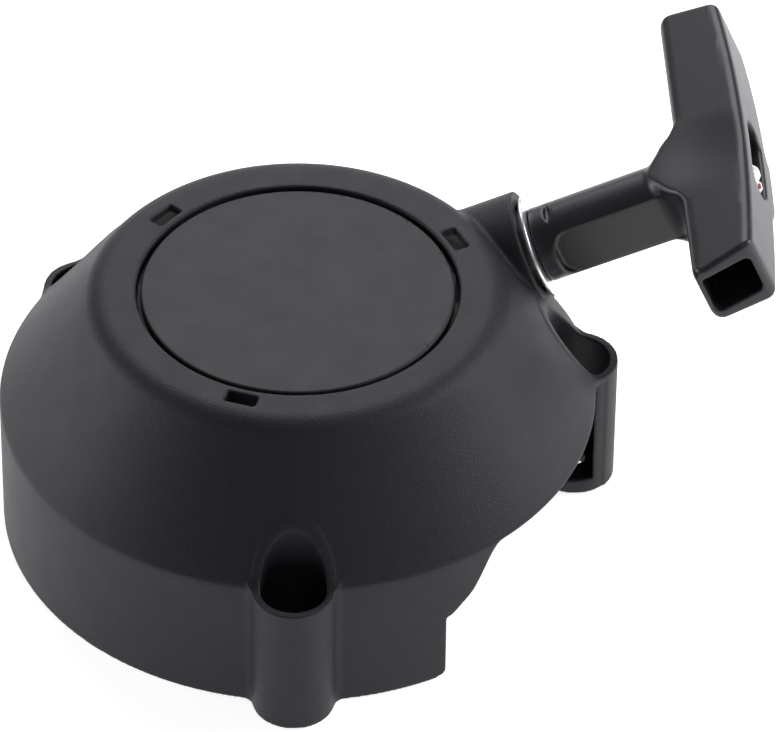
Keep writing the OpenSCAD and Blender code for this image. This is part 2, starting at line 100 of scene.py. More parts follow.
def keep(radius=0.0):
    """Keeps what lies in both, rounding the new edges."""
    add = join(radius)
    return lambda a, b: -add(-a, -b)


def arc(cx, cy, r, start, end, steps):
    """Points of an arc, with the angles in radians."""
    return [(cx + r * math.cos(start + (end - start) * i / steps),
             cy + r * math.sin(start + (end - start) * i / steps)) for i in range(steps + 1)]


def outline_distance(points, u, v):
    """Signed distance in a plane from an outline; u and v are arrays that broadcast."""
    u, v = np.broadcast_arrays(u, v)
    best = np.full(u.shape, 1e9, np.float32)
    inside = np.zeros(u.shape, bool)
    for (ax, ay), (bx, by) in zip(points, points[1:] + points[:1]):
        ex, ey = bx - ax, by - ay
        length = ex * ex + ey * ey
        if length < 1e-12:
            continue
        t = np.clip(((u - ax) * ex + (v - ay) * ey) / length, 0, 1)
        best = np.minimum(best, (u - ax - t * ex) ** 2 + (v - ay - t * ey) ** 2)
        if ay != by:
            crosses = (v >= min(ay, by)) & (v < max(ay, by))
            inside ^= crosses & (u < ax + (v - ay) * ex / ey)
    return np.where(inside, -np.sqrt(best), np.sqrt(best)).astype(np.float32)


def from_outline(points, u, v, step=0.2):
    """Distance from an outline where u spans x and y, and v is the z axis of the field."""
    low = float(u.min())
    rows = np.arange(low, float(u.max()) + 2 * step, step, dtype=np.float32)
    table = outline_distance(points, rows[:, None], v.reshape(1, -1))
    place = (u[..., 0] - low) / step
    row = np.clip(place.astype(int), 0, len(rows) - 2)
    part = (place - row)[..., None]
    return table[row] * (1 - part) + table[row + 1] * part


def revolve(points):
    """A solid turned about Z from an outline of (radius, height)."""
    return lambda x, y, z: from_outline(points, np.hypot(x, y), z)


def tube(r, low, high, cx=0.0, cy=0.0):
    """A round bar along Z."""
    return lambda x, y, z: np.maximum(np.hypot(x - cx, y - cy) - r,
                                      np.maximum(low - z, z - high))


def block(center, half, angle=0.0, round_by=0.0):
    """A box turned about Z around the origin; center is given before the turn."""
    c, s = math.cos(math.radians(angle)), math.sin(math.radians(angle))
    def shape(x, y, z):
        px, py = x * c + y * s - center[0], y * c - x * s - center[1]
        gaps = [np.abs(px) - half[0] + round_by, np.abs(py) - half[1] + round_by,
                np.abs(z - center[2]) - half[2] + round_by]
        outside = np.sqrt(sum(np.maximum(g, 0) ** 2 for g in gaps))
        return outside + np.minimum(np.maximum(np.maximum(*gaps[:2]), gaps[2]), 0) - round_by
    return shape


def rounded_box(u, v, half_u, half_v, r):
    """Distance from a rectangle with round corners."""
    a, b = np.abs(u) - half_u + r, np.abs(v) - half_v + r
    return np.hypot(np.maximum(a, 0), np.maximum(b, 0)) + np.minimum(np.maximum(a, b), 0) - r


def rod(r, start, end):
    """A round bar along the pull line, from start to end, measured from the outlet."""
    def shape(x, y, z):
        px, py, pz = x - OUTLET[0], y - OUTLET[1], z - OUTLET[2]
        s = px * ALONG[0] + pz * ALONG[2]
        n = px * UPWARD[0] + pz * UPWARD[2]
        return np.maximum(np.hypot(py, n) - r, np.maximum(start - s, s - end))
    return shape


class Field:
    """Signed distances in millimetres on a regular grid, negative inside."""

    def __init__(self, low, high, cell):
        self.low, self.cell = np.array(low, np.float32), cell
        counts = [int(math.ceil((b - a) / cell)) + 1 for a, b in zip(low, high)]
        self.axes = [a + cell * np.arange(n, dtype=np.float32) for a, n in zip(low, counts)]
        self.d = np.full(counts, 40.0, np.float32)

    def apply(self, combine, shape, low=(-500,) * 3, high=(500,) * 3):
        """Combines a shape with what is there, inside a box."""
        cuts = tuple(slice(*np.searchsorted(axis, (a, b)))
                     for axis, a, b in zip(self.axes, low, high))
        x, y, z = (axis[c] for axis, c in zip(self.axes, cuts))
        found = shape(x[:, None, None], y[None, :, None], z[None, None, :])
        self.d[cuts] = combine(self.d[cuts], found)

    def sample(self, points):
        """Distances at points, in millimetres."""
        place = (points - self.low) / self.cell
        top = np.array(self.d.shape) - 1.001
        place = np.clip(place, 0, top)
        base = place.astype(int)
        part = place - base
        total = np.zeros(len(points))
        for corner in np.ndindex(2, 2, 2):
            weight = np.prod(np.where(corner, part, 1 - part), axis=1)
            total += weight * self.d[tuple((base + corner).T)]
        return total

    def normals(self, points):
        """The way the surface faces at points."""
        reach = 0.8 * self.cell
        slope = np.stack([self.sample(points + step) - self.sample(points - step)
                          for step in np.eye(3) * reach], axis=1)
        return slope / np.maximum(np.linalg.norm(slope, axis=1, keepdims=True), 1e-9)

    def to_object(self, name, turn=None, adaptivity=0.004):
        """The surface as a mesh in metres; turn carries points and normals to the frame."""
        band = 3 * self.cell
        grid = openvdb.FloatGrid(background=band)
        grid.copyFromArray(np.clip(self.d, -band, band))
        spots, triangles, quads = grid.convertToPolygons(isovalue=0.0, adaptivity=adaptivity)
        points = self.low + self.cell * np.asarray(spots, float)
        facing = self.normals(points)
        faces = [np.asarray(quads, int).reshape(-1, 4), np.asarray(triangles, int).reshape(-1, 3)]
        flip = 0.0
        for group in faces:
            if len(group):
                a, b, c = (points[group[:, k]] for k in range(3))
                flip += float((np.cross(b - a, c - a) * facing[group[:, 0]]).sum())
        if flip < 0:
            faces = [group[:, ::-1] for group in faces]
        if turn:
            points, facing = turn(points, 1.0), turn(facing, 0.0)
        return mesh_object(name, points, faces, facing)


def mesh_object(name, points, face_groups, facing=None, uv=None):
    """A mesh object from points in millimetres and groups of faces."""
    mesh = bpy.data.meshes.new(name)
    face_groups = [np.asarray(group, int) for group in face_groups if len(group)]
    corners = np.concatenate([group.ravel() for group in face_groups])
    sizes = np.concatenate([np.full(len(group), group.shape[1]) for group in face_groups])
    mesh.vertices.add(len(points))
    mesh.vertices.foreach_set("co", (np.asarray(points) * MM).astype(np.float32).ravel())
    mesh.loops.add(len(corners))
    mesh.loops.foreach_set("vertex_index", corners.astype(np.int32))
    mesh.polygons.add(len(sizes))
    starts = np.concatenate([[0], np.cumsum(sizes)[:-1]])
    mesh.polygons.foreach_set("loop_start", starts.astype(np.int32))
    mesh.update(calc_edges=True)
    mesh.validate()
    mesh.shade_smooth()
    if facing is not None:
        mesh.normals_split_custom_set_from_vertices(np.asarray(facing, float).tolist())
    if uv is not None:
        layer = mesh.uv_layers.new(name="along")
        layer.data.foreach_set("uv", np.asarray(uv, np.float32)[corners].ravel())
    obj = bpy.data.objects.new(name, mesh)
    bpy.context.collection.objects.link(obj)
    return obj


def pull_to_frame(values, moves):
    """From the pull frame (along, across, upward) to the row frame, in millimetres."""
    turned = (values[:, :1] * ALONG + values[:, 1:2] * np.array([0, 1, 0])
              + values[:, 2:] * UPWARD)
    return turned + moves * OUTLET


def lathe(name, profile, steps=128, turn=None, round_by=0.25):
    """A closed ring or disc turned from (radius, height) points, with small rounded corners."""
    line = soften(profile, round_by)
    angles = np.arange(steps) * 2 * math.pi / steps
    r, h = line[:, 0], line[:, 1]
    points = np.stack([np.outer(np.cos(angles), r), np.outer(np.sin(angles), r),
                       np.tile(h, (steps, 1))], axis=2).reshape(-1, 3)
    count = len(line)
    faces = grid_faces(steps, count, True, True)
    if turn:
        points = turn(points, 1.0)
    return sharpened(mesh_object(name, points, [faces]))


def sharpened(obj, degrees=40):
    """Keeps the hard corners of a mesh hard."""
    obj.data.set_sharp_from_angle(angle=math.radians(degrees))
    return obj


def soften(profile, r, steps=3):
    """Rounds the corners of a closed outline."""
    points = [np.array(p, float) for p in profile]
    line = []
    for before, here, after in zip(points[-1:] + points[:-1], points, points[1:] + points[:1]):
        back, onward = before - here, after - here
        reach = min(r, np.linalg.norm(back) * 0.45, np.linalg.norm(onward) * 0.45)
        a = here + back / np.linalg.norm(back) * reach
        b = here + onward / np.linalg.norm(onward) * reach
        for i in range(steps + 1):
            t = i / steps
            line.append((1 - t) ** 2 * a + 2 * t * (1 - t) * here + t * t * b)
    return np.array(line)


def grid_faces(rows, columns, wrap_rows, wrap_columns):
    """Quads over a grid of points."""
    i, j = np.meshgrid(np.arange(rows if wrap_rows else rows - 1),
                       np.arange(columns if wrap_columns else columns - 1), indexing="ij")
    i, j = i.ravel(), j.ravel()
    down, right = (i + 1) % rows, (j + 1) % columns
    return np.stack([i * columns + j, down * columns + j,
                     down * columns + right, i * columns + right], axis=1)


# ---------------------------------------------------------------- housing

def dome_outline():
    """Half of the dome's outside, from the rim to the top."""
    skirt_reach = SKIRT_ROUND * math.tan((math.pi / 2 - CONE) / 2)
    shoulder_reach = SHOULDER_ROUND * math.tan(CONE / 2)
    return ([(0, 0), (BODY_R, 0)]
            + arc(BODY_R - SKIRT_ROUND, SKIRT_H - skirt_reach, SKIRT_ROUND, 0,
                  math.pi / 2 - CONE, 4)
            + arc(SHOULDER_R - shoulder_reach, BODY_H - SHOULDER_ROUND, SHOULDER_ROUND,
                  math.pi / 2 - CONE, math.pi / 2, 10)
            + [(0, BODY_H)])


def cavity_outline():
    """The hollow of the dome, outside the well under the disc and below its floor."""
    wall_in = BODY_R - WALL_T
    top_in = BODY_H - WALL_T
    shoulder_in = SHOULDER_R - WALL_T * math.tan(CONE / 2)
    skirt_in = SKIRT_H - WALL_T * math.tan((math.pi / 2 - CONE) / 2)
    bevel = 2
    return [(0, -9), (wall_in, -9), (wall_in, skirt_in),
            (shoulder_in + bevel * math.cos(CONE), top_in - bevel * math.sin(CONE)),
            (shoulder_in - bevel, top_in), (RECESS_R + 2, top_in),
            (RECESS_R + 2, LEDGE_Z - 2.4), (WELL_OUT, LEDGE_Z - 2.4), (WELL_OUT, WEB_LOW),
            (0, WEB_LOW)]


def notch_shape(x, y, z):
    """The cut-out of the skirt: a stepped ramp, then a long opening towards the right boss."""
    angle = math.radians(-38)
    low, top, first = 17.5, 33.5, -29.0
    def ease(t):
        t = min(max(t, 0), 1)
        return t * t * (3 - 2 * t)
    edge = [(u, low + 3.8 * ease((u - first) / 6) + 12.2 * ease((u + 24.5) / 10))
            for u in np.linspace(first, -7.4, 30)]
    corner = [(first - 1.8 + 1.8 * math.sin(a), 1.8 - 1.8 * math.cos(a))
              for a in np.linspace(0, math.pi / 2, 7)]
    outline = [(first - 1.8, -9)] + corner + edge + [(12, top), (12, -9)]
    across = y * math.cos(angle) - x * math.sin(angle)
    outward = x * math.cos(angle) + y * math.sin(angle)
    ramp = np.maximum(from_outline(outline, across, z), 45 - outward)
    end = math.radians(2)
    sector = np.maximum(-across, y * math.cos(end) - x * math.sin(end))
    opening = np.maximum(np.maximum(sector, z - top), 50 - np.hypot(x, y))
    return np.minimum(ramp, opening)


def rib_outline():
    """A rib between the well and the skirt, seen from its side."""
    wall_in = BODY_R - WALL_T
    return [(WELL_OUT - 1, 53), (wall_in + 1, 26), (wall_in + 1, SKIRT_H - 0.4),
            (SHOULDER_R + 1, BODY_H - WALL_T - 1.3), (SHOULDER_R - 4, BODY_H - 1.4),
            (RECESS_R + 1, BODY_H - 1.4), (RECESS_R + 1, LEDGE_Z - 1), (WELL_OUT - 1, LEDGE_Z - 1)]


def around(place, reach, low, high):
    """A window around a point of the plan."""
    x, y = place
    return (x - reach, y - reach, low), (x + reach, y + reach, high)


def polar(r, degrees):
    """A point of the plan from its radius and angle."""
    return r * math.cos(math.radians(degrees)), r * math.sin(math.radians(degrees))


def build_housing():
    """The cover: dome, bosses, nozzle, well, ribs, side cut-out, post and spring cup."""
    cell = 0.4
    field = Field((-71.5, -80.2, -1.4), (77.8, 71.5, 67), cell)
    dome = revolve(dome_outline())
    field.apply(join(), dome)
    for r, angle in BOSSES:
        spot = polar(r, angle)
        boss = tube(BOSS_R, 0, SKIRT_H, *spot)
        field.apply(join(2.4), boss, *around(spot, 16, -2, 40))
    nozzle_window = ((35, 5, 30), (70, 50, 68))
    field.apply(join(1.2), rod(NOZZLE_R, -34, -4), *nozzle_window)
    field.apply(cut(0.3), revolve(cavity_outline()))
    top_well = [(0, 80), (RECESS_R, 80), (RECESS_R, LEDGE_Z), (WELL_IN, LEDGE_Z),
                (WELL_IN, WEB_TOP), (0, WEB_TOP)]
    field.apply(cut(0.5), revolve(top_well), (-45, -45, 50), (45, 45, 70))
    for angle in RIB_ANGLES:
        c, s = math.cos(math.radians(angle)), math.sin(math.radians(angle))
        def rib(x, y, z):
            outward, across = x * c + y * s, y * c - x * s
            return np.maximum(from_outline(rib_outline(), outward, z), np.abs(across) - 0.9)
        spot = polar(52, angle)
        field.apply(join(0.8), rib, *around(spot, 20, 24, 66))
    field.apply(cut(1.0), notch_shape, (20, -72, -9), (80, 2, 40))
    for r, angle in BOSSES:
        spot = polar(r, angle)
        def column(x, y, z):
            inside = np.minimum(dome(x, y, z) + 0.05, z - SKIRT_H)
            return np.maximum(tube(BOSS_R, 0, 60)(x - spot[0], y - spot[1], z), inside)
        field.apply(join(0.8), column, *around(spot, 11, -2, 62))
    def nozzle_inside(x, y, z):
        return np.maximum(rod(15, -14, 0)(x, y, z), dome(x, y, z) + 0.05)
    field.apply(join(0.6), nozzle_inside, *nozzle_window)
    def nozzle(x, y, z):
        return keep(0.5)(rod(NOZZLE_R, -14, 5)(x, y, z), rod(40, -40, -2)(x, y, z))
    field.apply(join(), nozzle, *nozzle_window)
    field.apply(join(1.0), tube(POST_R, POST_LOW, 54), (-9, -9, 20), (9, 9, 56))
    def ring(x, y, z):
        r = np.hypot(x, y)
        return np.maximum(np.abs(r - 28.8) - 1.2, np.maximum(43.4 - z, z - 53))
    field.apply(join(0.4), ring, (-32, -32, 41), (32, 32, 56))
    for angle in COVER_SCREWS:
        spot = polar(COVER_SCREW_R, angle)
        field.apply(join(0.5), tube(4, 43.6, 54, *spot), *around(spot, 7, 41, 56))
    cut_openings(field)
    field.apply(keep(0.3), lambda x, y, z: -z + 0 * x + 0 * y, (-500, -500, -9), (500, 500, 2))
    piece = field.to_object("moulded_cover")
    return dress(piece, "housing", "housing_plastic", "housing")


def cut_openings(field):
    """Bores, slots, seats and the openings for the disc's legs."""
    for r, angle in BOSSES:
        spot = polar(r, angle)
        field.apply(cut(0.5), tube(BOSS_BORE_R, BOSS_SEAT, 80, *spot), *around(spot, 11, -2, 64))
        field.apply(cut(0.3), tube(SCREW_HOLE_R, -5, 8, *spot), *around(spot, 6, -2, 8))
    spot, turn = polar(*BOSSES[1]), math.radians(BOSSES[1][1])
    def inner(x, y, z):
        ring = np.maximum(np.hypot(x, y) - 70.3, np.hypot(x - spot[0], y - spot[1]) - 10.35)
        near_side = y * math.cos(turn) - x * math.sin(turn) - 2
        return np.maximum(np.maximum(ring, near_side), np.maximum(BOSS_SEAT - z, z - 31))
    field.apply(cut(0.3), inner, *around(spot, 13, 0, 34))
    for angle in SLOT_ANGLES:
        spot = polar(SLOT_R, angle)
        slot = block((SLOT_R, 0, 66), (1.75, 3.7, 5), angle, 0.5)
        field.apply(cut(0.35), slot, *around(spot, 7, 58, 68))
        window = block((35.25, 0, 60), (3.75, 3.4, 2.2), angle)
        opening = block((34, 0, 62.8), (2.5, 3.4, 5), angle)
        field.apply(cut(), window, *around(polar(36, angle), 8, 55, 68))
        field.apply(cut(), opening, *around(polar(36, angle), 8, 55, 68))
    field.apply(cut(), rod(BUSH_R, -22, 1), (30, 10, 30), (70, 45, 68))
    field.apply(cut(0.4), rod(NOZZLE_SEAT_R, -5, 1), (40, 5, 30), (70, 50, 68))
    field.apply(cut(0.3), tube(INSERT_R, 20, INSERT_TOP), (-6, -6, 20), (6, 6, 40))
    for angle in COVER_SCREWS:
        spot = polar(COVER_SCREW_R, angle)
        field.apply(cut(), tube(1.2, 40, 50.4, *spot), *around(spot, 4, 41, 53))


def build_disc():
    """The disc in the top, with three hooked legs."""
    cell = 0.3
    field = Field((-38, -38, 57.4), (38, 38, 66), cell)
    field.apply(join(), tube(DISC_R, LEDGE_Z, 90))
    field.apply(keep(0.45), lambda x, y, z: z - DISC_TOP + 0 * x)
    for angle in SLOT_ANGLES:
        leg = block((34.9, 0, 60.7), (0.8, 3, 2.5), angle, 0.2)
        hook = block((36.35, 0, 59.1), (2.25, 3, 0.9), angle, 0.2)
        field.apply(join(0.3), leg, *around(polar(35, angle), 8, 57, 64))
        field.apply(join(0.3), hook, *around(polar(36, angle), 8, 57, 62.5))
    piece = field.to_object("snap_in_disc")
    return dress(piece, "housing", "disc_plastic", "cover_disc")


def build_eyelet():
    """The flanged steel bush that the rope leaves through."""
    profile = [(2.6, -13), (BUSH_R, -13), (BUSH_R, -5), (9.5, -5), (9.5, -0.9),
               (EYELET_R, -0.9), (EYELET_R, -0.25), (12.1, 0)] + arc(5.5, -2.9, 2.9, math.pi / 2, math.pi, 10)
    def place(points, moves):
        return pull_to_frame(np.stack([points[:, 2], points[:, 0], points[:, 1]], axis=1), moves)
    piece = lathe("eyelet", profile, 160, place, 0.22)
    return dress(piece, "housing", "eyelet_steel", "rope_bush")


# ---------------------------------------------------------------- handle

BAR_START, BAR_W, BAR_Y, BAR_N = 37.7, 15.9, 6.6, 2.6
BAR_IN_LEN, BAR_OUT_LEN, BAR_BULGE = 98.7, 90.6, 2.3
BAR_IN_T, BAR_OUT_T = 15.4, 18.6
LOBE_R, LOBE_LOW, STEM_FLAT = 14, -8.6, 6.2


def inset(points, by):
    """The outline of a convex polygon, moved inwards."""
    points = [np.array(p, float) for p in points]
    area = sum(a[0] * b[1] - a[1] * b[0] for a, b in zip(points, points[1:] + points[:1]))
    side = 1 if area > 0 else -1
    lines = []
    for a, b in zip(points, points[1:] + points[:1]):
        way = (b - a) / np.linalg.norm(b - a)
        lines.append((a + side * by * np.array([-way[1], way[0]]), way))
    moved = []
    for (p, u), (q, v) in zip(lines[-1:] + lines[:-1], lines):
        t = np.linalg.solve(np.array([u, -v]).T, q - p)[0]
        moved.append(tuple(p + t * u))
    return moved


def bar_shape(s, y, n):
    """The crossbar: a tapered plan with round corners and a swollen outer face."""
    half_in, half_out = BAR_IN_LEN / 2, BAR_OUT_LEN / 2
    end = BAR_START + BAR_W
    corner = 3.4
    plan = [(BAR_START, -half_in), (end, -half_out), (end + 8, -half_out + 2),
            (end + 8, half_out - 2), (end, half_out), (BAR_START, half_in)]
    plan = inset(plan, corner)
    u, v = np.broadcast_arrays(s[..., 0], y[..., 0] - BAR_Y)
    ends = (outline_distance(plan, u, v) - corner)[..., None] + 0 * n
    half_n = BAR_IN_T / 2 + (BAR_OUT_T - BAR_IN_T) / 2 * (s - BAR_START) / BAR_W
    section = keep(2.6)(BAR_START - s + 0 * n, np.abs(n - BAR_N) - half_n)
    return keep(1.3)(ends, section + 0 * y)


def outer_face(s, y, n):
    """The swollen face that the bar and its lobe end at."""
    half_out = BAR_OUT_LEN / 2
    swell = (half_out ** 2 + BAR_BULGE ** 2) / (2 * BAR_BULGE)
    return np.hypot(s - (BAR_START + BAR_W + BAR_BULGE - swell), y - BAR_Y) - swell + 0 * n


def stem_shape(s, y, n):
    """The stem: round and slightly tapered, with a flat on each side past the collar."""
    r = 9.0 + 0.2 * np.clip(s / BAR_START, 0, 1)
    bar = np.maximum(np.hypot(y, n) - r, s - BAR_START - 3)
    bar = keep(0.35)(bar, 0.15 - s + 0 * y + 0 * n)
    side = STEM_FLAT - np.abs(y) + 0 * s + 0 * n
    arch = keep(4.5)(4.4 - s + 0 * n, np.abs(n) - 6.6 + 0 * s)
    flats = keep(0.5)(side, arch + 0 * y)
    return cut(0.7)(bar, flats)


def build_handle():
    """The T handle, in the pull frame: along the rope, across it, and upward."""
    cell = 0.32
    field = Field((-0.8, -44.2, -11.5), (57.5, 57.4, 15.5), cell)
    field.apply(join(), bar_shape)
    middle = BAR_START + BAR_W / 2
    def lobe_top(s):
        return 10.3 + 0.1 * (s - BAR_START)
    def lobe(s, y, n):
        disc = keep(1.3)(np.hypot(s - middle, y) - LOBE_R + 0 * n,
                         np.maximum(LOBE_LOW - n, n - lobe_top(s)))
        return np.maximum(disc, s - 62)
    field.apply(join(2.6), lobe, (20, -22, -12), (62, 22, 16))
    field.apply(join(2.4), stem_shape, (-1, -14, -12), (46, 14, 16))
    field.apply(keep(), lambda s, y, n: n - lobe_top(s) + 0 * y, (28, -22, 6), (62, 22, 20))
    field.apply(keep(2.2), outer_face)
    dish = 60.0
    def dimple(s, y, n):
        return np.sqrt((s - middle) ** 2 + y ** 2 + (n - lobe_top(s) - dish + 0.4) ** 2) - dish
    field.apply(cut(1.0), dimple, (30, -16, 6), (58, 16, 16))
    def channel(s, y, n):
        return rounded_box(s - BAR_START - 8, n - BAR_N, 6.0, 5.2, 1.6) + 0 * y
    field.apply(cut(0.45), channel)
    field.apply(cut(0.4), lambda s, y, n: np.maximum(np.hypot(y, n) - 2.3, s - 45))
    def oval(s, y, n):
        near = np.clip(y, -7.5, 7.5)
        return np.maximum(np.hypot(y - near, n - BAR_N) - 4.5, BAR_START + 8 - s)
    field.apply(cut(0.9), oval, (44, -18, -8), (58, 18, 13))
    def groove(s, y, n):
        return (np.sqrt(((s - 4.9) / 0.85) ** 2 + (y / 4.0) ** 2 + ((n - 9.4) / 1.5) ** 2) - 1) * 0.8
    field.apply(cut(0.3), groove, (2, -6, 5), (8, 6, 12))
    piece = field.to_object("pull_handle", pull_to_frame)
    return dress(piece, "handle", "grip_plastic", "grip")


# ---------------------------------------------------------------- rope

def rope_mesh(name, centers, lengths, closed=False, sides=28, radius=ROPE_R, weave=0.085):
    """A braided cord along a line of points; lengths are the places of the points on the cord."""
    centers = np.asarray(centers, float)
    count = len(centers)
    if closed:
        ahead = np.roll(centers, -1, 0) - np.roll(centers, 1, 0)
    else:
        ahead = np.gradient(centers, axis=0)
    ahead /= np.linalg.norm(ahead, axis=1, keepdims=True)
    side = np.cross(ahead[0], [0.1, 1, 0.2])
    sides_of = []
    for way in ahead:
        side = side - way * side.dot(way)
        side /= np.linalg.norm(side)
        sides_of.append(side)
    first = np.array(sides_of)
    twist = np.zeros(count)
    if closed:
        back = first[0] - ahead[-1] * first[0].dot(ahead[-1])
        off = math.atan2(np.cross(first[-1], back).dot(ahead[-1]), first[-1].dot(back))
        twist = off * np.arange(count) / count
    second = np.cross(ahead, first)
    turn = np.arange(sides) * 2 * math.pi / sides
    around_cord = turn[None, :] + twist[:, None]
    s = np.asarray(lengths, float)[:, None]
    pitch = 2 * math.pi / LAY
    one, two = np.cos(4 * turn[None, :] + 4 * pitch * s), np.cos(4 * turn[None, :] - 4 * pitch * s)
    height = np.maximum(one, two) * 0.5 + 0.5 * np.maximum(one * two, -0.4)
    reach = radius * (1 - weave + weave * height)
    points = (centers[:, None, :] + reach[..., None] * (np.cos(around_cord)[..., None]
              * first[:, None, :] + np.sin(around_cord)[..., None] * second[:, None, :]))
    faces = [grid_faces(count, sides, closed, True)[:, ::-1]]
    uv = np.stack([np.broadcast_to(s / LAY, (count, sides)),
                   np.broadcast_to(turn / (2 * math.pi), (count, sides))], axis=2).reshape(-1, 2)
    points = points.reshape(-1, 3)
    if not closed:
        ends = len(points)
        points = np.vstack([points, centers[:1], centers[-1:]])
        uv = np.vstack([uv, uv[:1], uv[-1:]])
        ring = np.arange(sides)
        after = np.roll(ring, -1)
        last = (count - 1) * sides
        faces.append(np.stack([np.full(sides, ends), ring, after], axis=1)[:, ::-1])
        faces.append(np.stack([np.full(sides, ends + 1), last + after, last + ring], axis=1)[:, ::-1])
    return mesh_object(name, points, [f[:, ::-1] for f in faces], uv=uv)


def along_line(points, spacing):
    """Evenly spaced points on a line of points, and their places on it."""
    points = np.asarray(points, float)
    steps = np.concatenate([[0], np.cumsum(np.linalg.norm(np.diff(points, axis=0), axis=1))])
    places = np.linspace(0, steps[-1], max(int(steps[-1] / spacing), 4))
    return np.stack([np.interp(places, steps, points[:, k]) for k in range(3)], axis=1), places


def build_rope():
    """The rope from the drum to the handle's knot; the pulled length comes from inside the outlet."""
    run_z, pull_len = ROW_HIGH_Z, 720
    stretch_from, stretch_to, rope_end = -24.0, -9.0, BAR_START + 3.5
    bend = 12 * math.tan(PULL / 2)
    bend_x = OUTLET[0] - (OUTLET[2] - run_z) / math.tan(PULL)
    inside = [(x, OUTLET[1], run_z) for x in np.linspace(0, bend_x - bend, 12)]
    inside += [(bend_x - bend + 12 * math.sin(a), OUTLET[1], run_z + 12 * (1 - math.cos(a)))
               for a in np.linspace(0, PULL, 8)[1:]]
    entry = -(OUTLET[2] - run_z) / math.sin(PULL) + bend
    inside += [tuple(OUTLET + ALONG * s) for s in np.linspace(entry, stretch_from, 8)[1:]]
    spacing = 0.4
    first, places = along_line(inside, spacing)
    fine = np.linspace(stretch_from, stretch_to, 4000)
    t = (fine - stretch_from) / (stretch_to - stretch_from)
    drawn = fine - stretch_from + pull_len * t * t * (3 - 2 * t)
    rows = np.linspace(0, drawn[-1], 560)
    middle = np.interp(rows, drawn, fine)
    outer = np.arange(stretch_to, rope_end, spacing)
    centers = np.vstack([first[:-1]] + [OUTLET + ALONG * s[:, None] for s in (middle, outer[1:])])
    lengths = np.concatenate([places[:-1], places[-1] + rows,
                              places[-1] + rows[-1] + outer[1:] - stretch_to])
    piece = rope_mesh("pull_rope", centers, lengths)
    paint(piece, "rope")
    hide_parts("rope_run", "rope_lead")
    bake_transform(piece)
    return piece


def build_wound_rope():
    """Six turns of rope on the drum."""
    pieces = []
    for row, z in enumerate((ROW_LOW_Z, ROW_HIGH_Z)):
        for layer in range(3):
            r = 16.4 + 3.52 * layer
            count = int(2 * math.pi * r / (0.6))
            turn = np.arange(count) * 2 * math.pi / count
            centers = np.stack([r * np.cos(turn), r * np.sin(turn), np.full(count, z)], axis=1)
            whole = round(2 * math.pi * r / LAY) * LAY
            pieces.append(rope_mesh(f"turn_{row}_{layer}", centers, turn / (2 * math.pi) * whole,
                                    closed=True, sides=16))
    piece = merged(pieces, "wound_rope")
    return dress(piece, "rotor", "rope", "rope_wound")


def merged(pieces, name):
    """One object of several."""
    with bpy.context.temp_override(active_object=pieces[0], selected_editable_objects=pieces):
        bpy.ops.object.join()
    pieces[0].name = name
    return pieces[0]


def knot_line(scale, count=160):
    """An overhand knot's closed line."""
    t = np.linspace(0, 2 * math.pi, count, endpoint=False)
    line = np.stack([np.sin(3 * t), np.sin(t) + 2 * np.sin(2 * t), np.cos(t) - 2 * np.cos(2 * t)],
                    axis=1)
    return line * np.array(scale)


def build_knots():
    """The knot in the handle, and the knot in the drum."""
    line = knot_line((1.7, 1.35, 0.72))
    tilt = math.radians(-14)
    y, n = line[:, 1].copy(), line[:, 2].copy()
    line[:, 1] = y * math.cos(tilt) - n * math.sin(tilt)
    line[:, 2] = y * math.sin(tilt) + n * math.cos(tilt)
    line += np.array([BAR_START + 14.8, -6.4, BAR_N + 0.1])
    centers = pull_to_frame(line, 1.0)
    lengths = np.linspace(0, 49, len(centers), endpoint=False)
    piece = rope_mesh("handle_knot", centers, lengths, closed=True, radius=1.65)
    dress(piece, "handle", "rope", "rope_end_knot")
    line = knot_line((0.7, 0.62, 0.42))
    spot = polar(15.6, 60)
    centers = line[:, [1, 2, 0]] + np.array([spot[0], spot[1] + 0.8, 28.2])
    small = rope_mesh("drum_knot", centers, np.linspace(0, 28, len(centers), endpoint=False),
                      closed=True, sides=16, radius=1.1)
    dress(small, "rotor", "rope", "rotor_rope_knot")


# ---------------------------------------------------------------- works

def build_rotor():
    """The drum, with the pawls' pivot holes, the rope's hole and the spring's slot."""
    cell = 0.4
    field = Field((-31, -31, 22.8), (31, 31, 51.8), cell)
    body = [(ROTOR_BORE, ROTOR_LOW), (NOSE_R, ROTOR_LOW), (NOSE_R, 31), (SPOOL_R, 31),
            (SPOOL_R, 33), (SPOOL_CORE, 33), (SPOOL_CORE, 40.4), (SPOOL_R, 40.4),
            (SPOOL_R, 42.2), (10, 42.2), (10, ROTOR_TOP), (ROTOR_BORE, ROTOR_TOP)]
    field.apply(join(), revolve([tuple(p) for p in soften(body, 0.35)]))
    for side in (0, 180):
        spot = polar(PAWL_PIVOT_R, side)
        field.apply(cut(), tube(2, 29, 35, *spot), *around(spot, 5, 28, 36))
    field.apply(cut(0.3), tube(2.05, 25, 37, *polar(12.6, 60)), *around(polar(12.6, 60), 5, 24, 38))
    key = block((10.9, 0, 49), (1.5, 1.2, 5), 200)
    field.apply(cut(0.2), key, *around(polar(11, 200), 5, 43, 52))
    piece = field.to_object("rope_drum")
    return dress(piece, "rotor", "rotor_nylon", "rope_rotor")


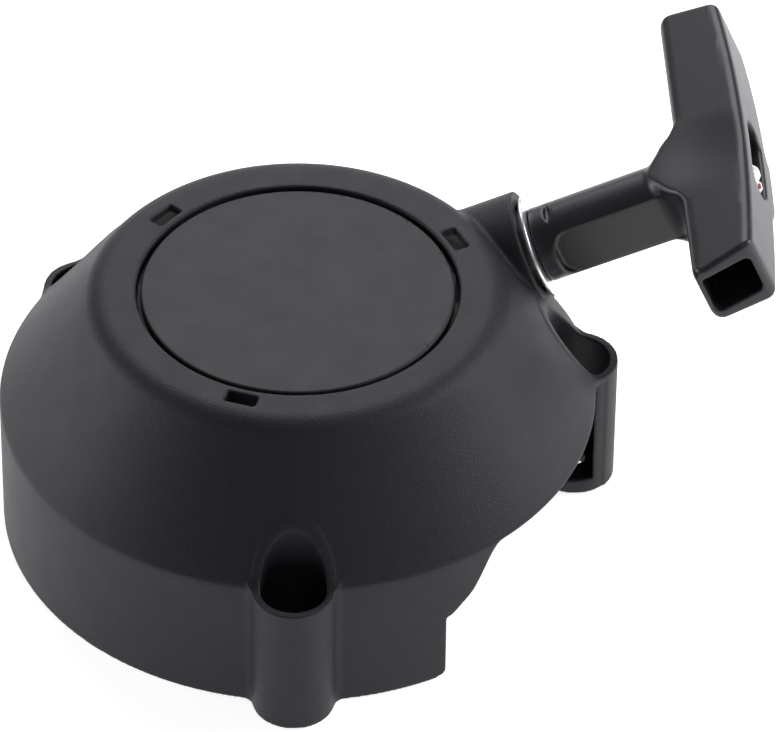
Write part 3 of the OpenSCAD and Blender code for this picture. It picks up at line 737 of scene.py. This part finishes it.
def build_pawl(name, body, node, side):
    """A drive pawl, modelled at its pivot; side 1 is the one opposite."""
    cell = 0.2
    field = Field((-5.6, -20, 22.9), (6, 6, 31.2), cell)
    outline = [(-3.4, -1.5), (-2.2, -9), (0, -15.5), (3.2, -18.6), (5.2, -18.4), (4.6, -15)]
    outline += arc(-7, -3.6, 11.2, math.radians(-38), math.radians(12), 8)
    low, high = PAWL_LOW, PAWL_HIGH
    def plate(x, y, z):
        flat = outline_distance(outline, x[..., 0], y[..., 0])[..., None]
        return keep(0.4)(flat + 0 * z, np.maximum(low - z, z - high) + 0 * flat)
    field.apply(join(), plate)
    field.apply(join(0.3), lambda x, y, z: keep(0.4)(np.hypot(x, y) - PAWL_EYE_R + 0 * z,
                                                     np.maximum(low - z, z - high) + 0 * x + 0 * y))
    field.apply(join(0.2), tube(1.5, GUIDE_LOW, 27, *DRIVE_PIN))
    field.apply(cut(0.2), tube(2.06, 20, 35))
    flip = 1 if side == 0 else -1
    def place(values, moves):
        return values * np.array([flip, flip, 1]) + moves * np.array([PAWL_PIVOT_R * flip, 0, 0])
    piece = field.to_object(name, place)
    return dress(piece, body, "pawl_steel", node)


def build_guide():
    """The plate whose two curved slots swing the pawls out."""
    cell = 0.25
    field = Field((-26, -26, 23.1), (26, 26, 25.8), cell)
    field.apply(join(), lambda x, y, z: keep(0.35)(
        np.hypot(x, y) - GUIDE_R + 0 * z,
        np.maximum(GUIDE_LOW - z, z - GUIDE_HIGH) + 0 * x + 0 * y))
    field.apply(cut(0.2), tube(12.06, 20, 30))
    steps = 10
    for side in (0, 180):
        for i in range(steps + 1):
            a = math.radians(-GUIDE_SWING * i / steps + side)
            b = math.radians(PAWL_SWING * i / steps)
            px = PAWL_PIVOT_R + DRIVE_PIN[0] * math.cos(b) - DRIVE_PIN[1] * math.sin(b)
            py = DRIVE_PIN[0] * math.sin(b) + DRIVE_PIN[1] * math.cos(b)
            spot = (px * math.cos(a) - py * math.sin(a), px * math.sin(a) + py * math.cos(a))
            field.apply(cut(0.15), tube(1.9, 20, 30, *spot), *around(spot, 4, 20, 30))
    piece = field.to_object("guide_plate")
    return dress(piece, "guide", "zinc_steel", "pawl_guide")


def build_center_screw():
    """The socket screw in the post, with its thread."""
    cell = 0.18
    field = Field((-5.4, -5.4, 17.8), (5.4, 5.4, 33.8), cell)
    field.apply(join(), lambda x, y, z: keep(0.9)(np.hypot(x, y) - 4.6 + 0 * z,
                                                  18.5 - z + 0 * x + 0 * y))
    field.apply(keep(0.2), lambda x, y, z: z - 21.5 + 0 * x + 0 * y)
    def shank(x, y, z):
        thread = 0.14 * np.cos(2 * math.pi * z / 0.8 - np.arctan2(y, x))
        return np.maximum(np.hypot(x, y) - 1.86 - thread, np.maximum(20 - z, z - 33))
    field.apply(join(0.1), shank)
    def socket(x, y, z):
        sides = [np.abs(x * math.cos(a) + y * math.sin(a)) - 1.98
                 for a in np.radians([30, 90, 150])]
        return np.maximum(np.maximum(np.maximum(*sides[:2]), sides[2]), z - 20.3)
    field.apply(cut(0.15), socket)
    piece = field.to_object("socket_screw")
    return dress(piece, "housing", "zinc_steel", "center_screw")


def build_rings():
    """The two washers, the drum's bush and the insert, all turned."""
    washer = lathe("end_washer", [(2.2, 21.5), (15, 21.5), (15, 23), (2.2, 23)])
    dress(washer, "housing", "zinc_steel", "retainer_washer")
    thin = lathe("slip_washer", [(7.2, 23), (11.8, 23), (11.8, 23.6), (7.2, 23.6)], round_by=0.12)
    dress(thin, "housing", "brass", "thrust_washer")
    bush = lathe("drum_bush", [(7.06, ROTOR_LOW), (ROTOR_BORE, ROTOR_LOW), (ROTOR_BORE, ROTOR_TOP),
                                (7.06, ROTOR_TOP)], round_by=0.2)
    dress(bush, "rotor", "brass", "rotor_bush")
    insert = lathe("threaded_insert", [(SCREW_R, 23.2), (INSERT_R, 23.2), (INSERT_R, INSERT_TOP),
                                       (SCREW_R, INSERT_TOP)], round_by=0.15)
    dress(insert, "housing", "brass", "post_insert")


# ---------------------------------------------------------------- finishes

def finish_material(name, color, rough, grain, grain_height, metallic=0.0, spread=0.06,
                    edge_lift=0.0, edge_lift_color=(0.3, 0.3, 0.3), coat=0.0, specular=0.5):
    """A finish with fine grain, uneven roughness and lighter convex edges; grain is in millimetres."""
    material = bpy.data.materials.new(name)
    material.use_nodes = True
    nodes, links = material.node_tree.nodes, material.node_tree.links
    shader = nodes["Principled BSDF"]
    shader.inputs["Metallic"].default_value = metallic
    shader.inputs["Coat Weight"].default_value = coat
    shader.inputs["Coat Roughness"].default_value = 0.2
    shader.inputs["Specular IOR Level"].default_value = specular
    place = nodes.new("ShaderNodeTexCoord").outputs["Object"]

    def noise(size, detail):
        node = nodes.new("ShaderNodeTexNoise")
        node.inputs["Scale"].default_value = 1000.0 / size
        node.inputs["Detail"].default_value = detail
        links.new(place, node.inputs["Vector"])
        return node.outputs["Fac"]

    def ranged(source, low, high, start=0.3, end=0.7):
        node = nodes.new("ShaderNodeMapRange")
        for key, value in zip(("From Min", "From Max", "To Min", "To Max"), (start, end, low, high)):
            node.inputs[key].default_value = value
        links.new(source, node.inputs["Value"])
        return node.outputs["Result"]

    def mixed(factor, a, b):
        node = nodes.new("ShaderNodeMix")
        node.data_type = "RGBA"
        links.new(factor, node.inputs[0])
        for socket, value in zip((node.inputs[6], node.inputs[7]), (a, b)):
            if isinstance(value, tuple):
                socket.default_value = (*value, 1)
            else:
                links.new(value, socket)
        return node.outputs[2]

    fine, broad = noise(grain, 2), noise(18, 3)
    dark = tuple(c * (1 - spread) for c in color)
    light = tuple(c * (1 + spread) for c in color)
    base = mixed(ranged(broad, 0, 1), dark, light)
    base = mixed(ranged(fine, 0, 0.5), base, tuple(min(c * 1.25, 1) for c in light))
    # Convex edges, found from pointiness, get a lighter colour mixed in.
    if edge_lift:
        edge = ranged(nodes.new("ShaderNodeNewGeometry").outputs["Pointiness"], 0, edge_lift, 0.53, 0.6)
        base = mixed(edge, base, edge_lift_color)
    links.new(base, shader.inputs["Base Color"])
    links.new(ranged(noise(7, 4), rough * 0.96, min(rough * 1.04, 1)), shader.inputs["Roughness"])
    bump = nodes.new("ShaderNodeBump")
    bump.inputs["Strength"].default_value = 1.0
    bump.inputs["Distance"].default_value = grain_height * MM
    links.new(fine, bump.inputs["Height"])
    links.new(bump.outputs["Normal"], shader.inputs["Normal"])
    return material


def rope_material():
    """White braided cord with a red tracer that shows every few strands."""
    material = finish_material("rope_cord", (0.78, 0.77, 0.74), 0.8, 0.5, 0.06, spread=0.06)
    nodes, links = material.node_tree.nodes, material.node_tree.links
    shader = nodes["Principled BSDF"]
    white = shader.inputs["Base Color"].links[0].from_socket
    split = nodes.new("ShaderNodeSeparateXYZ")
    links.new(nodes.new("ShaderNodeUVMap").outputs["UV"], split.inputs[0])
    nodes["UV Map"].uv_map = "along"

    def math_node(kind, a, b):
        node = nodes.new("ShaderNodeMath")
        node.operation = kind
        for socket, value in zip(node.inputs, (a, b)):
            if isinstance(value, (int, float)):
                socket.default_value = value
            else:
                links.new(value, socket)
        return node.outputs[0]

    strand = math_node("FRACT", math_node("ADD", split.outputs[0], split.outputs[1]), 0)
    cross = math_node("FRACT", math_node("MULTIPLY", math_node(
        "SUBTRACT", split.outputs[0], split.outputs[1]), 4), 0)
    on_strand = math_node("LESS_THAN", strand, 0.2)
    on_top = math_node("LESS_THAN", cross, 0.6)
    red = nodes.new("ShaderNodeMix")
    red.data_type = "RGBA"
    links.new(math_node("MULTIPLY", on_strand, on_top), red.inputs[0])
    links.new(white, red.inputs[6])
    red.inputs[7].default_value = (0.42, 0.03, 0.03, 1)
    links.new(red.outputs[2], shader.inputs["Base Color"])
    return material


def build_finishes():
    """One finish for each material slot of the record."""
    return {
        "housing_plastic": finish_material("cover_plastic", (0.0105, 0.0105, 0.0142), 0.52, 0.36,
                                           0.13, specular=0.3, edge_lift=0.25,
                                           edge_lift_color=(0.07, 0.07, 0.075)),
        "disc_plastic": finish_material("disc_finish", (0.0115, 0.0115, 0.0137), 0.5, 0.3, 0.02,
                                        specular=0.26),
        "eyelet_steel": finish_material("polished_eyelet", (0.78, 0.78, 0.8), 0.3, 0.8, 0.004,
                                        metallic=1.0, spread=0.04),
        "brass": finish_material("turned_brass", (0.66, 0.44, 0.17), 0.3, 0.6, 0.01,
                                 metallic=1.0, spread=0.08),
        "spring_steel": finish_material("blued_spring", (0.3, 0.31, 0.34), 0.32, 0.5, 0.01,
                                        metallic=1.0),
        "zinc_steel": finish_material("zinc_plate", (0.6, 0.6, 0.58), 0.3, 0.7, 0.012,
                                      metallic=1.0, spread=0.08),
        "rotor_nylon": finish_material("drum_nylon", (0.63, 0.61, 0.54), 0.5, 0.5, 0.03,
                                       spread=0.05),
        "pawl_steel": finish_material("hard_pawl_steel", (0.36, 0.36, 0.37), 0.4, 0.4, 0.02,
                                      metallic=1.0),
        "grip_plastic": finish_material("handle_plastic", (0.0125, 0.0125, 0.0152), 0.38, 0.5, 0.02,
                                        specular=0.42, edge_lift=0.2,
                                        edge_lift_color=(0.09, 0.09, 0.095)),
        "rope": rope_material(),
    }


FINISHES = build_finishes()


def paint(obj, slot):
    """Gives a piece the finish of a slot."""
    obj.data.materials.clear()
    obj.data.materials.append(FINISHES[slot])


def dress(obj, body, slot, *nodes):
    """Paints a piece, lets it ride on its body and stand for CAD nodes."""
    paint(obj, slot)
    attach(obj, body)
    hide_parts(*nodes)
    return obj


def paint_kept_nodes():
    """The CAD nodes that stay as they are get a finish too."""
    kept = {"recoil_spring": "spring_steel", "spring_cover": "zinc_steel",
            "spring_cover_screws": "zinc_steel", "pawl_pins": "pawl_steel",
            "brake_spring": "spring_steel"}
    for node, slot in kept.items():
        paint(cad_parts[node], slot)


# ---------------------------------------------------------------- stage

def build_stage():
    """A pale floor that glows only around the part, a dim surround and soft lights."""
    scene = bpy.context.scene
    size = 6.0
    points = [(-size, -size), (size, -size), (size, size), (-size, size)]
    floor = mesh_object("floor", [(x / MM, y / MM, -0.2) for x, y in points], [[(0, 1, 2, 3)]])
    pale = bpy.data.materials.new("pale_floor")
    pale.use_nodes = True
    shader = pale.node_tree.nodes["Principled BSDF"]
    shader.inputs["Base Color"].default_value = (0.8, 0.8, 0.8, 1)
    shader.inputs["Roughness"].default_value = 0.9
    shader.inputs["Emission Color"].default_value = (1, 1, 1, 1)
    nodes, links = pale.node_tree.nodes, pale.node_tree.links
    from_middle = nodes.new("ShaderNodeVectorMath")
    from_middle.operation = "LENGTH"
    links.new(nodes.new("ShaderNodeTexCoord").outputs["Object"], from_middle.inputs[0])
    glow = nodes.new("ShaderNodeMapRange")
    for key, value in zip(("From Min", "From Max", "To Min", "To Max"), (0.03, 0.048, 0.0, 0.8)):
        glow.inputs[key].default_value = value
    links.new(from_middle.outputs["Value"], glow.inputs["Value"])
    links.new(glow.outputs["Result"], shader.inputs["Emission Strength"])
    seen_from_below = nodes.new("ShaderNodeMixShader")
    links.new(nodes.new("ShaderNodeNewGeometry").outputs["Backfacing"], seen_from_below.inputs[0])
    links.new(shader.outputs[0], seen_from_below.inputs[1])
    links.new(nodes.new("ShaderNodeBsdfTransparent").outputs[0], seen_from_below.inputs[2])
    links.new(seen_from_below.outputs[0], nodes["Material Output"].inputs["Surface"])
    floor.data.materials.append(pale)
    world = bpy.data.worlds.new("surround")
    world.use_nodes = True
    world.node_tree.nodes["Background"].inputs["Color"].default_value = (1, 1, 1, 1)
    world.node_tree.nodes["Background"].inputs["Strength"].default_value = 0.14
    scene.world = world
    scene.view_settings.view_transform = "Standard"
    for name, spot, width, power in (("back_softbox", (0.0, 1.3, 1.15), 1.3, 20),
                                     ("left_side", (-1.4, 0.25, 0.25), 0.7, 10),
                                     ("right_side", (1.35, 0.2, 0.75), 0.7, 18),
                                     ("front_fill", (0.5, -1.3, 1.2), 0.7, 2)):
        data = bpy.data.lights.new(name, "AREA")
        data.size = width
        data.energy = power
        data.color = (0.96, 0.97, 1.0)
        light = bpy.data.objects.new(name, data)
        light.location = spot
        light.rotation_euler = (Vector((0, 0, 0.03)) - light.location).to_track_quat(
            "-Z", "Y").to_euler()
        bpy.context.collection.objects.link(light)


def build_camera():
    """A long lens from the front and above."""
    distance, height = 1.54946, math.radians(41.754)
    turn, yaw, pitch = math.radians(-2.2), math.radians(-0.812), math.radians(1.174)
    data = bpy.data.cameras.new("camera")
    data.lens, data.sensor_width = 300, 36
    camera = bpy.data.objects.new("camera", data)
    around_z = Matrix.Rotation(turn, 4, "Z")
    camera.matrix_world = (
        around_z @ Matrix.Translation((0, -distance * math.cos(height), distance * math.sin(height)))
        @ Matrix.Rotation(math.pi / 2 - height, 4, "X") @ Matrix.Rotation(yaw, 4, "Y")
        @ Matrix.Rotation(pitch, 4, "X"))
    bpy.context.collection.objects.link(camera)
    bpy.context.scene.camera = camera


build_housing()
build_disc()
build_eyelet()
build_handle()
build_rope()
build_wound_rope()
build_knots()
build_rotor()
build_pawl("dog_one", "pawl_one", "pawl_a", 0)
build_pawl("dog_two", "pawl_two", "pawl_b", 1)
build_guide()
build_center_screw()
build_rings()
paint_kept_nodes()
build_stage()
build_camera()
